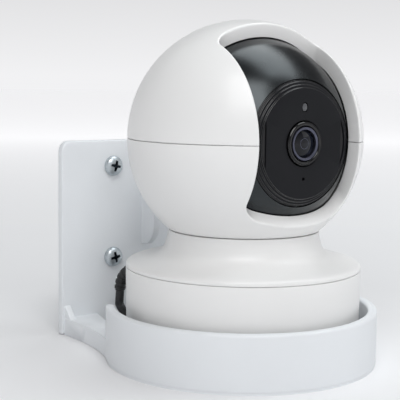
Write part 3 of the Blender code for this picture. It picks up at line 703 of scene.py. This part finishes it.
# ---- wall screws ---------------------------------------------------------------------------------
# How far each screw was turned, in degrees.
TWISTS = (12, 55, 78, 31)
PAN_HEAD = [(0, 2.6), (1.0, 2.56), (1.9, 2.42), (2.7, 2.12), (3.35, 1.68), (3.8, 1.1), (4.0, 0.5), (4.0, 0.0),
            (1.9, 0.0)]
for k in range(16):
    PAN_HEAD += [(1.9, -1.0 - 0.8 * k), (1.45, -1.35 - 0.8 * k)]
PAN_HEAD += [(1.2, -14.2), (0, -15.9)]
ARM = [(2.2, 0.5), (0.75, 0.6), (0.6, 0.75), (0.5, 2.2)]
CROSS = ARM + mirrored(ARM) + [(-u, -v) for u, v in ARM] + [(u, -v) for u, v in reversed(ARM)]


def cross_recess(x, z, twist):
    """The cross for the driver, straight at first and then narrower."""
    across_u, across_v = math.cos(twist), math.sin(twist)
    wide = [(x + u * across_u - v * across_v, z + u * across_v + v * across_u) for u, v in CROSS]
    narrow = [(x + (u - x) * 0.5, z + (v - z) * 0.5) for u, v in wide]
    return skin([[front(u, v, PLATE_FRONT - 4) for u, v in wide],
                 [front(u, v, PLATE_FRONT - 2.5) for u, v in wide],
                 [front(u, v, PLATE_FRONT - 1.2) for u, v in narrow]])


def add_screw(number, x, z):
    """A pan-head screw through the plate, with its thread as rings."""
    bm = turned(PAN_HEAD, ahead, 56, (x, -(0.3 - PLATE_FRONT), z), radius=0)
    screw = finish(bm, "pan_head_screw_%d" % number, ZINC, "base", ["wall_screw_%d" % number])
    # The cut faces of the cross take the near-black metal: painted shade in the driver's cross.
    tool = cutter(cross_recess(x, z, math.radians(TWISTS[number - 1])), look=PAINTED_SHADE_RECESS)
    modify(screw, tool, "DIFFERENCE").modifiers[-1].material_mode = "TRANSFER"
    settle(screw, tool)


screw_places = [(x, z) for z in SCREW_Z for x in (-SCREW_X, SCREW_X)]
for number, (x, z) in enumerate(screw_places, 1):
    add_screw(number, x, z)

# ---- still base ----------------------------------------------------------------------------------
# The housing's profile, and the outline of the power port's opening.
HOUSING = [(42.74, 34.6), (42.72, 30.0), (42.6, 22.0), (42.45, 12.0), (42.3, 5.1), (41.6, UNDER),
           (40.5, UNDER), (40.5, 34.6)]
PORT = [(5.2, 2.6), (4.2, 3.6), (-4.2, 3.6), (-5.2, 2.6), (-5.2, -2.6), (-4.2, -3.6), (4.2, -3.6),
        (5.2, -2.6)]


def add_housing():
    """The wall of the still base, with three screw posts inside and the port's opening."""
    housing = finish(turned(HOUSING, steps=180, radius=0.35), "housing_wall", WHITE, "base", ["base_housing"])
    tools = []
    for degrees in BOSSES:
        post = turned(drum(4.4, 6.6, 16.0), steps=32, centre=(*polar(SCREW_RING, degrees), 0))
        tools.append(cutter(post))
        modify(housing, tools[-1], "UNION")
    tools.append(cutter(skin([[rear(u, out, PORT_Z + v) for u, v in PORT] for out in (37.5, 46.0)])))
    modify(housing, tools[-1], "DIFFERENCE")
    settle(housing, *tools)


def add_cover():
    """The neck: a sloping shoulder and a concave rise, hollow inside."""
    outside = curve_through([(27.46, NECK_TOP - 0.3), (27.6, 46.4), (28.0, 44.7), (28.5, 43.0), (29.3, 41.3),
                             (31.0, 39.8), (33.4, 38.85), (36.5, 38.1), (39.5, 37.35), (41.5, 36.7),
                             (42.5, 36.0), (42.75, 35.2)], 5)
    inside = [(42.68, 34.8), (42.4, 34.72), (40.2, 34.72), (40.2, 33.2), (38.8, 33.2), (38.8, 35.6),
              (34.7, 36.8), (30.0, 38.0), (27.7, 40.6), (26.3, 44.8), (25.86, NECK_TOP - 0.1),
              (26.0, NECK_TOP)]
    line = [(27.2, NECK_TOP), (27.4, NECK_TOP - 0.1)] + outside + inside
    finish(turned(line, steps=180, radius=0), "neck_cover", WHITE, "base", ["top_cover"])


def add_underside():
    """The plate under the camera, its screw holes, and four rubber feet in recesses."""
    bore = [(0, 3.0), (2.5, 3.0), (2.5, 5.5), (1.4, 5.5), (1.4, 14.5), (0, 14.5)]
    foot_line = [(0, 3.3), (2.0, 3.42), (3.6, 3.3), (4.4, 3.5), (4.5, 5.0), (0, 5.0)]
    plate = finish(turned(drum(40.1, UNDER, 6.3), steps=120), "underside_plate", WHITE, "base",
                   ["base_plate"])
    tools = []
    for degrees in BOSSES:
        spot = (*polar(SCREW_RING, degrees), 0)
        tools.append(cutter(turned(bore, steps=28, centre=spot, radius=0)))
        modify(plate, tools[-1], "DIFFERENCE")
    for i in range(4):
        spot = (*polar(30.0, 45 + 90 * i), 0)
        tools.append(cutter(turned(drum(4.8, 3.0, 5.3), steps=40, centre=spot, radius=0)))
        modify(plate, tools[-1], "DIFFERENCE")
        finish(turned(foot_line, steps=40, centre=spot), "rubber_foot_%d" % (i + 1), PAD, "base",
               ["foot_pad_%d" % (i + 1)])
    settle(plate, *tools)


add_housing()
add_cover()
add_underside()


# ---- head ----------------------------------------------------------------------------------------
def slot_outline(grow):
    """Rounded outline of the head's opening, grown by a distance, as points given by their distance
    to the side and their distance up along the shell."""
    half = SLOT_HALF + grow
    high = SLOT_TOP * math.pi / 180 * SHELL_R + grow
    low = SLOT_LOW * math.pi / 180 * SHELL_R - grow
    round_high, round_low = 6 + grow, 6.5 + grow
    points = []
    for cx, cy, radius, begin in ((half - round_high, high - round_high, round_high, 0),
                                  (round_high - half, high - round_high, round_high, 90),
                                  (round_low - half, low + round_low, round_low, 180),
                                  (half - round_low, low + round_low, round_low, 270)):
        points += [(cx + x, cy + y) for x, y in arc(radius, begin, begin + 90, 12)]
    # Long sides get more points, so that they follow the shell.
    dense = []
    for i, point in enumerate(points):
        after = points[(i + 1) % len(points)]
        span = math.hypot(after[0] - point[0], after[1] - point[1])
        pieces = 56 if span > 50 else (26 if span > 20 else 1)
        for k in range(pieces):
            t = k / pieces
            dense.append((point[0] + (after[0] - point[0]) * t, point[1] + (after[1] - point[1]) * t))
    return dense


def slot_cutter(fillet):
    """A cutter whose mouth flares, so that the opening's edge is softly rounded."""
    layers = [(32.0, 0.0), (37.0, 0.0), (40.0, 0.0)]
    for k in range(8):
        angle = math.radians(90 * k / 7)
        layers.append((SHELL_R - fillet * (1 - math.sin(angle)), fillet * (1 - math.cos(angle))))
    layers += [(SHELL_R + 0.03, fillet + 0.5), (44.5, fillet + 0.9), (50.0, fillet + 0.9)]
    rows = []
    for radius, grow in layers:
        rows.append([across(math.sqrt(radius * radius - x * x), x, s / SHELL_R, (0, 0, 0))
                     for x, s in slot_outline(grow)])
    bm = skin(rows, caps=False)
    bm.verts.ensure_lookup_table()
    size = len(rows[0])
    tip_out = across(130, 0, math.radians(16), (0, 0, 0))
    for start, apex in ((0, (0, 0, 0)), (len(bm.verts) - size, tip_out)):
        tip = bm.verts.new(apex)
        bm.verts.ensure_lookup_table()
        for j in range(size):
            bm.faces.new((bm.verts[start + j], bm.verts[start + (j + 1) % size], tip))
    return cutter(bm, HEAD)


def band(half, inside, outside, low, high, steps):
    """A strip of lip that backs the opening, between two elevations in degrees."""
    offsets = [half * (1 - j / 12) for j in range(25)]
    rows = []
    for angle in turns_between(low, high, steps):
        row = [across(math.sqrt(outside ** 2 - x ** 2), x, angle, (0, 0, 0)) for x in offsets]
        row += [across(math.sqrt(inside ** 2 - x ** 2), -x, angle, (0, 0, 0)) for x in offsets]
        rows.append(row)
    return cutter(skin(rows), HEAD)


def shell_lines():
    """Profiles of the head's upper and lower half, with a fine seam between them."""
    cut = math.degrees(math.asin((HEAD_CUT - BALL_Z) / SHELL_R))
    cut_in = math.degrees(math.asin((HEAD_CUT - BALL_Z) / SHELL_IN))
    top = [(0, SHELL_R)] + arc(SHELL_R, 88.5, 1.5, 58)
    top += [(SHELL_R - 0.03, SEAM_GAP + 0.25), (SHELL_R - 0.22, SEAM_GAP), (SHELL_IN, SEAM_GAP)]
    top += arc(SHELL_IN, 3, 87, 28) + [(0, SHELL_IN)]
    low = [(SHELL_R - 0.22, -SEAM_GAP), (SHELL_R - 0.03, -SEAM_GAP - 0.25)]
    low += arc(SHELL_R, -1.5, cut + 0.8, 32)
    low += [(27.05, HEAD_CUT - BALL_Z + 0.06), (26.8, HEAD_CUT - BALL_Z)]
    low += arc(SHELL_IN, cut_in, -3, 16) + [(SHELL_IN, -SEAM_GAP)]
    return top, low


def add_shells():
    """The head's two white halves, with the opening and the lip round it."""
    top_line, low_line = shell_lines()
    upper = finish(turned(top_line, steps=192, radius=0), "upper_casing", WHITE, "head", ["upper_shell"],
                   HEAD)
    lower = finish(turned(low_line, steps=192, radius=0), "lower_casing", WHITE, "head", ["lower_shell"],
                   HEAD)
    mouth = slot_cutter(0.8)
    edge, lip_half, lip_out = math.degrees(1.5 / SHELL_R), SLOT_HALF + 1.5, 41.9
    lip_high = band(lip_half, RIM_R, lip_out, 0.23, SLOT_TOP + edge, 48)
    lip_low = band(lip_half, RIM_R, lip_out, SLOT_LOW - edge, -0.23, 28)
    modify(upper, lip_high, "UNION")
    modify(lower, lip_low, "UNION")
    modify(upper, mouth, "DIFFERENCE")
    modify(lower, mouth, "DIFFERENCE")
    settle(upper)
    settle(lower, mouth, lip_high, lip_low)


add_shells()

# ---- tilting eye ---------------------------------------------------------------------------------
# Where the card slit and the reset button are, in degrees above the horizon.
CARD_AT, RESET_AT = -50, -64.0
# The dark windows beside the lens: their outer radius, where their inner edge is, and their middle.
WINDOW_R, WINDOW_IN, WINDOW_MID = 18.4, 16.6, 17.25
# The status window above the lens and the microphone hole below it.
STATUS_Z, MICROPHONE_Z = 12.3, -12.0


def at_elevation(degrees):
    """A placer whose depth points out of the ball at an elevation."""
    angle = math.radians(degrees)

    def place(u, v, depth):
        return (u, -depth * math.cos(angle) + v * math.sin(angle),
                depth * math.sin(angle) + v * math.cos(angle))
    return place


def outwards(radius, along, angle, centre):
    """A point of a solid that is turned about the reset button's axis."""
    return at_elevation(RESET_AT)(radius * math.cos(angle), radius * math.sin(angle), along)


def ball_sector(name, low, high, steps, node):
    """Part of the black ball, hollow, with a pin hole at each side."""
    half_in = BLACK_HALF - 1.5
    wide = math.degrees(math.asin(BLACK_HALF / BLACK_R))
    narrow = math.degrees(math.asin(half_in / BLACK_IN))
    line = [(PIN_R, -BLACK_HALF)] + arc(BLACK_R, -wide, wide, 56) + [(PIN_R, BLACK_HALF), (PIN_R, half_in)]
    line += arc(BLACK_IN, narrow, -narrow, 24) + [(PIN_R, -half_in)]
    return finish(turned(line, across, steps, sector=(low, high), radius=0), name, GLOSS, "eye", [node], HEAD)


def add_ball():
    """The ball's two parts; the front one has holes for the face, the card and the reset button."""
    ball = ball_sector("ball_front", -118.0, 118.0, 150, "ball_front_shell")
    ball_sector("ball_rear", 118.6, 241.4, 60, "ball_rear_shell")
    place = at_elevation(CARD_AT)
    slit = [(6.3, 0.5), (5.9, 0.9), (-5.9, 0.9), (-6.3, 0.5), (-6.3, -0.5), (-5.9, -0.9), (5.9, -0.9),
            (6.3, -0.5)]
    tools = [cutter(turned(drum(21.85, 22.0, 45.0), ahead, 160, radius=0), HEAD),
             cutter(skin([[place(u, v, d) for u, v in slit] for d in (30, 40)]), HEAD),
             cutter(turned(drum(2.0, 30, 40), outwards, 40, radius=0), HEAD)]
    for tool in tools:
        modify(ball, tool, "DIFFERENCE")
    settle(ball, *tools)


def add_reset():
    """The reset button's stem, collar and slightly dished cap."""
    line = [(0, 33.9), (2.8, 33.9), (2.8, 34.9), (1.6, 34.9), (1.6, 36.75), (1.0, 36.9), (0.5, 36.7),
            (0, 36.62)]
    finish(turned(line, outwards, 40, radius=0.12), "reset_cap", MATTE, "reset", ["reset_button"], HEAD)


def pill(half, straight, steps=14):
    """The outline of the status window, upright with round ends."""
    points = []
    for start, lift in ((0, straight), (180, -straight)):
        points += [(x, STATUS_Z + lift + z) for x, z in arc(half, start, start + 180, steps)]
    return points


def add_face():
    """The stepped face, with a recess and a dark window at each side and two holes by the lens."""
    line = [(7.8, FACE_F - 2), (7.8, FACE_F), (FACE_R, FACE_F), (FACE_R, 31.4), (19.9, 31.4), (19.9, 30.8),
            (20.9, 30.8), (20.9, 30.1), (21.5, 30.1), (21.5, 28.6), (18.0, 28.6), (17.2, FACE_F - 2)]
    panel = finish(turned(line, ahead, 180, radius=0.27, corner_steps=4), "stepped_face", MATTE, "eye",
                   ["face_panel"], HEAD)
    tools = []
    wide = math.degrees(math.acos(WINDOW_IN / WINDOW_R))
    for hand, word in ((-1, "left"), (1, "right")):
        shape = [(hand * x, z) for x, z in arc(WINDOW_R, -wide, wide, 30)]
        middle = hand * WINDOW_MID
        inlay = [(middle + (x - middle) * 0.94, z * 0.985) for x, z in shape]
        tools.append(cutter(slab(shape, -FACE_F + 0.6, -FACE_F - 2, front), HEAD))
        modify(panel, tools[-1], "DIFFERENCE")
        finish(slab(inlay, -FACE_F + 0.58, -FACE_F + 0.36, front), "infrared_window_" + word, GROOVE, "eye",
               (), HEAD)
    tools.append(cutter(slab(pill(1.3, 0.35), -25, -40, front), HEAD))
    modify(panel, tools[-1], "DIFFERENCE")
    tools.append(cutter(turned(drum(0.6, 25, 40), ahead, 28, (0, 0, MICROPHONE_Z), radius=0), HEAD))
    modify(panel, tools[-1], "DIFFERENCE")
    settle(panel, *tools)
    panel.data.materials.append(STEP)
    for polygon in panel.data.polygons:
        u, v = polygon.center.x, polygon.center.z - BALL_Z * MM
        if math.hypot(u, v) > (FACE_R - 0.3) * MM and polygon.normal.y > -0.97:
            polygon.material_index = 1
    finish(slab(pill(1.0, 0.35), -FACE_F + 2, -FACE_F + 0.1, front, 0.1), "status_pane", SMOKE, "eye",
           ["status_window"], HEAD)


def add_lens():
    """The surround with its trim ring, the ridged tube, and the domed glass with the aperture ring."""
    surround = [(5.9, 29.6), (7.5, 29.6), (7.5, 32.5), (7.15, 32.9), (6.5, 32.95), (6.15, 32.7), (5.9, 32.3)]
    trim = [(6.85, 32.7), (7.15, 32.7), (7.15, 32.96), (7.05, 33.0), (6.95, 33.0), (6.85, 32.98)]
    tube = [(4.3, 15.6), (5.6, 15.6)]
    for k in range(14):
        tube += [(5.6, 17.0 + 0.8 * k), (5.35, 17.3 + 0.8 * k)]
    tube += [(5.6, 29.0), (5.72, 32.7), (5.62, 32.9), (5.45, 32.96), (4.95, 32.82), (4.82, 32.72),
             (4.8, 32.5), (4.8, 29.6), (4.3, 29.6)]
    dome = [(0.46 * k, 32.4 - 0.038 * (0.46 * k) ** 2) for k in range(11)] + [(4.6, 29.7), (0, 29.7)]
    aperture = [(1.7, 32.2), (1.85, 32.2), (1.85, 32.29), (1.7, 32.32)]
    finish(turned(surround, ahead, 120, radius=0.12), "lens_surround", RING, "eye", ["lens_bezel"], HEAD)
    finish(turned(trim, ahead, 120, radius=0.04), "lens_trim_ring", THIN, "eye", (), HEAD)
    finish(turned(tube, ahead, 96, radius=0), "lens_tube", BEVEL, "eye", ["lens_barrel"], HEAD)
    finish(turned(dome, ahead, 96, radius=0), "front_element", GLASS, "eye", ["lens_glass"], HEAD)
    finish(turned(aperture, ahead, 80, radius=0.03), "aperture_ring", BEVEL, "eye", (), HEAD)


add_ball()
add_reset()
add_face()
add_lens()

# ---- carried-over inner pieces -------------------------------------------------------------------
looks = {
    STEEL: ["pan_motor", "tilt_motor", "pan_retainer", "power_socket", "card_socket", "reset_switch",
            "microphone", "tilt_pin_left", "tilt_pin_right"],
    ZINC: ["base_screw_1", "base_screw_2", "base_screw_3"],
    NATURAL: ["pan_post", "pan_gear", "pan_pinion", "tilt_gear", "tilt_pinion", "head_frame",
              "tilt_bracket_left", "tilt_bracket_right"],
    BOARD: ["power_board", "main_board", "sensor_board", "infrared_board"],
    PAD: ["speaker"],
    AMBER: ["wifi_antenna"],
}
for look, nodes in looks.items():
    for node in nodes:
        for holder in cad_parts[node].material_slots:
            holder.material = look

# ---- studio --------------------------------------------------------------------------------------
DAYLIGHT = (0.985, 0.985, 1.0, 1.0)


def studio_floor():
    """A pale floor that glows more towards the distance, where it meets the backdrop: painted light, an
    emission that rises with distance from the middle.
    """
    look, tree, shader = material("studio_floor", (0.86, 0.86, 0.87), 0.7)
    drift = ramp(tree, noise(tree, 3.0), (0.855, 0.855, 0.865), (0.865, 0.865, 0.875))
    tree.links.new(drift, shader.inputs["Base Color"])
    spot = tree.nodes.new("ShaderNodeTexCoord")
    away = tree.nodes.new("ShaderNodeVectorMath")
    away.operation = "LENGTH"
    tree.links.new(spot.outputs["Object"], away.inputs[0])
    # Painted light: the floor's own glow, growing with distance from the middle.
    painted_glow = tree.nodes.new("ShaderNodeMapRange")
    painted_glow.inputs["From Min"].default_value = 0.15
    painted_glow.inputs["From Max"].default_value = 1.4
    painted_glow.inputs["To Max"].default_value = 0.72
    tree.links.new(away.outputs["Value"], painted_glow.inputs["Value"])
    shader.inputs["Emission Color"].default_value = DAYLIGHT
    tree.links.new(painted_glow.outputs["Result"], shader.inputs["Emission Strength"])
    return look


def stage_plane(name, size, look):
    """A level square in the picture that is not part of the object."""
    bm = bmesh.new()
    bmesh.ops.create_grid(bm, x_segments=2, y_segments=2, size=size / 2)
    mesh = bpy.data.meshes.new(name)
    bm.to_mesh(mesh)
    bm.free()
    made = bpy.data.objects.new(name, mesh)
    bpy.context.scene.collection.objects.link(made)
    mesh.materials.append(look)


def softbox(name, spot, aim, wide, high, power, colour=(1, 1, 1)):
    """A rectangular light that faces a point."""
    data = bpy.data.lights.new(name, "AREA")
    data.shape = "RECTANGLE"
    data.size, data.size_y = wide, high
    data.energy = power
    data.color = colour
    made = bpy.data.objects.new(name, data)
    bpy.context.scene.collection.objects.link(made)
    made.location = spot
    made.rotation_euler = (Vector(aim) - Vector(spot)).to_track_quat("-Z", "Y").to_euler()


def add_backdrop():
    """Surroundings that are brightest at the horizon and dim with height."""
    world = bpy.data.worlds.new("studio")
    bpy.context.scene.world = world
    world.use_nodes = True
    tree = world.node_tree
    background = tree.nodes["Background"]
    background.inputs["Color"].default_value = DAYLIGHT
    direction = tree.nodes.new("ShaderNodeTexCoord")
    height = tree.nodes.new("ShaderNodeSeparateXYZ")
    tree.links.new(direction.outputs["Generated"], height.inputs["Vector"])
    fade = tree.nodes.new("ShaderNodeMapRange")
    fade.inputs["From Max"].default_value = 0.45
    fade.inputs["To Min"].default_value = 0.90
    fade.inputs["To Max"].default_value = 0.12
    tree.links.new(height.outputs["Z"], fade.inputs["Value"])
    tree.links.new(fade.outputs["Result"], background.inputs["Strength"])


stage_plane("floor", 12.0, studio_floor())
middle = (0, PAN_Y * MM, 0.06)
softbox("key_right", (1.0, -0.75, 0.70), middle, 0.8, 0.8, 1.6)
softbox("overhead", (0.38, 0.02, 1.08), middle, 0.95, 0.6, 5.6, (0.94, 0.98, 1.0))
softbox("top_left", (-0.45, -0.70, 1.00), middle, 0.8, 0.8, 9.0)
add_backdrop()
bpy.context.scene.view_settings.view_transform = "Standard"
